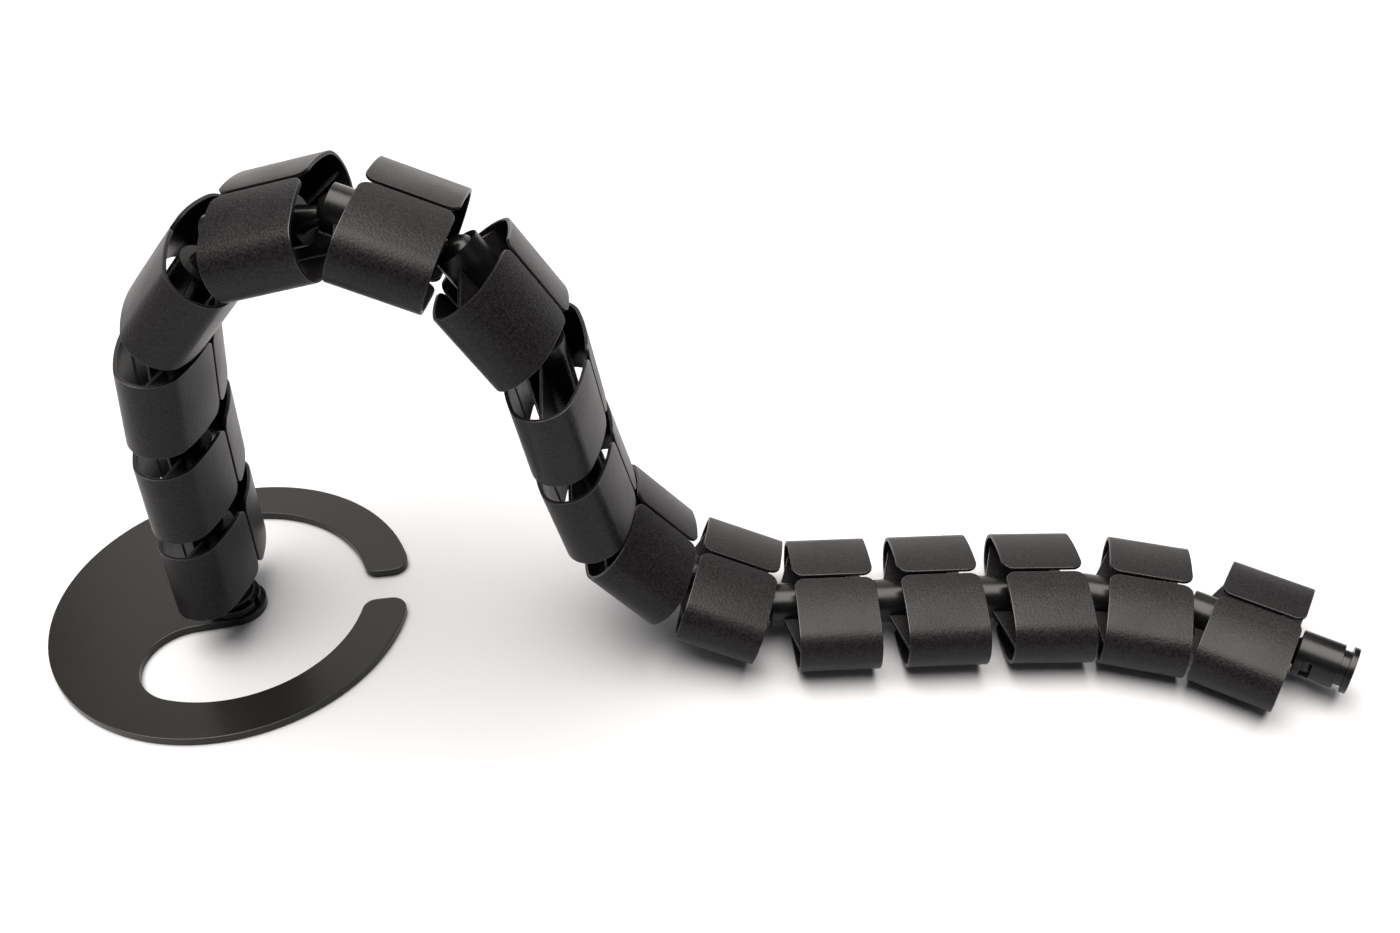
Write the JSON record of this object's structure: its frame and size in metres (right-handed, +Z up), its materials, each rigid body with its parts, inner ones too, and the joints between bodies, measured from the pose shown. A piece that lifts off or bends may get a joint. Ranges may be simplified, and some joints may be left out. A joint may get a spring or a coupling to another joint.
{
  "type": "cable spine",
  "caption": "Flexible cable spine of oval snap-together links on a round steel foot plate, arched over and laid along the floor, with a desk connector.",
  "frame": {"origin": "centre of the round foot plate, on its underside", "axes": "+Z up out of the plate; +X the way the spine arches over and leads off along the floor; +Y to the back of the arch"},
  "size_m": [0.717, 0.2, 0.276],
  "materials": {
    "black_plastic": "satin black moulded plastic with a fine grain",
    "black_steel": "matte black powder coat",
    "zinc_steel": "zinc-plated screw"
  },
  "bodies": {
    "base": {"foot_plate": "black_steel", "foot_connector": "black_plastic", "foot_screw": "zinc_steel"},
    "link_01": {"link_01": "black_plastic"},
    "link_02": {"link_02": "black_plastic"},
    "link_03": {"link_03": "black_plastic"},
    "link_04": {"link_04": "black_plastic"},
    "link_05": {"link_05": "black_plastic"},
    "link_06": {"link_06": "black_plastic"},
    "link_07": {"link_07": "black_plastic"},
    "link_08": {"link_08": "black_plastic"},
    "link_09": {"link_09": "black_plastic"},
    "link_10": {"link_10": "black_plastic"},
    "link_11": {"link_11": "black_plastic"},
    "link_12": {"link_12": "black_plastic"},
    "link_13": {"link_13": "black_plastic"},
    "link_14": {"link_14": "black_plastic"},
    "link_15": {"link_15": "black_plastic"},
    "link_16": {"link_16": "black_plastic"},
    "desk_connector": {"desk_connector": "black_plastic"}
  },
  "joints": [
    {"name": "foot_bend", "type": "hinge", "parent": "base", "child": "link_01", "pos_m": [0, 0, 0.025], "axis": [0, 0.9994, -0.0349], "range_deg": [-36, 36]},
    {"name": "joint_01_bend", "type": "hinge", "parent": "link_01", "child": "link_02", "pos_m": [0, 0.00202, 0.08296], "axis": [-0.0018, -0.9994, -0.0349], "range_deg": [-31.5, 37.5]},
    {"name": "joint_02_bend", "type": "hinge", "parent": "link_02", "child": "link_03", "pos_m": [0.00303, 0, 0.14085], "axis": [0.0049, 0.9994, 0.0346], "range_deg": [-41, 31]},
    {"name": "joint_03_bend", "type": "hinge", "parent": "link_03", "child": "link_04", "pos_m": [0.0111, -0.00202, 0.19825], "axis": [0, -1, 0], "range_deg": [-3.5, 67.5]},
    {"name": "joint_04_bend", "type": "hinge", "parent": "link_04", "child": "link_05", "pos_m": [0.04838, -0.00202, 0.24268], "axis": [0.0337, 0.9994, 0.009], "range_deg": [-70.5, 0.5]},
    {"name": "joint_05_bend", "type": "hinge", "parent": "link_05", "child": "link_06", "pos_m": [0.10437, -0.00405, 0.25768], "axis": [-0.0819, -0.9962, 0.0298], "range_deg": [0, 70.5]},
    {"name": "joint_06_bend", "type": "hinge", "parent": "link_06", "child": "link_07", "pos_m": [0.15867, -0.0091, 0.23792], "axis": [0.05, 0.9962, -0.0714], "range_deg": [-70.5, 1]},
    {"name": "joint_07_bend", "type": "hinge", "parent": "link_07", "child": "link_08", "pos_m": [0.19181, -0.01416, 0.19059], "axis": [0.0164, -0.9945, -0.1032], "range_deg": [-0.5, 53.5]},
    {"name": "joint_08_bend", "type": "hinge", "parent": "link_08", "child": "link_09", "pos_m": [0.20083, -0.0081, 0.13362], "axis": [-0.0127, 0.9986, 0.0508], "range_deg": [-30, 40]},
    {"name": "joint_09_bend", "type": "hinge", "parent": "link_09", "child": "link_10", "pos_m": [0.21484, -0.00506, 0.07742], "axis": [-0.0496, -0.9976, 0.049], "range_deg": [-64.5, 1.5]},
    {"name": "joint_10_bend", "type": "hinge", "parent": "link_10", "child": "link_11", "pos_m": [0.25599, -0.00911, 0.03674], "axis": [0.1669, 0.9848, -0.0479], "range_deg": [-4.5, 63]},
    {"name": "joint_11_bend", "type": "hinge", "parent": "link_11", "child": "link_12", "pos_m": [0.3109, -0.01918, 0.021], "axis": [0.0523, -0.9986, 0], "range_deg": [-37.5, 5.5]},
    {"name": "joint_12_turn", "type": "hinge", "parent": "link_12", "child": "link_13", "pos_m": [0.36882, -0.01614, 0.021], "axis": [0, 0, 1], "range_deg": [-17.5, 17.5]},
    {"name": "joint_13_turn", "type": "hinge", "parent": "link_13", "child": "link_14", "pos_m": [0.42674, -0.01311, 0.021], "axis": [0, 0, -1], "range_deg": [-19.5, 15.5]},
    {"name": "joint_14_turn", "type": "hinge", "parent": "link_14", "child": "link_15", "pos_m": [0.48473, -0.01209, 0.021], "axis": [0, 0, 1], "range_deg": [-2.5, 32.5]},
    {"name": "joint_15_turn", "type": "hinge", "parent": "link_15", "child": "link_16", "pos_m": [0.54101, -0.02613, 0.021], "axis": [0, 0, -1], "range_deg": [-34.5, 0.5]},
    {"name": "desk_turn", "type": "hinge", "parent": "link_16", "child": "desk_connector", "pos_m": [0.59072, -0.056, 0.021], "axis": [0, 0, 1], "range_deg": [-36, 36]}
  ]
}
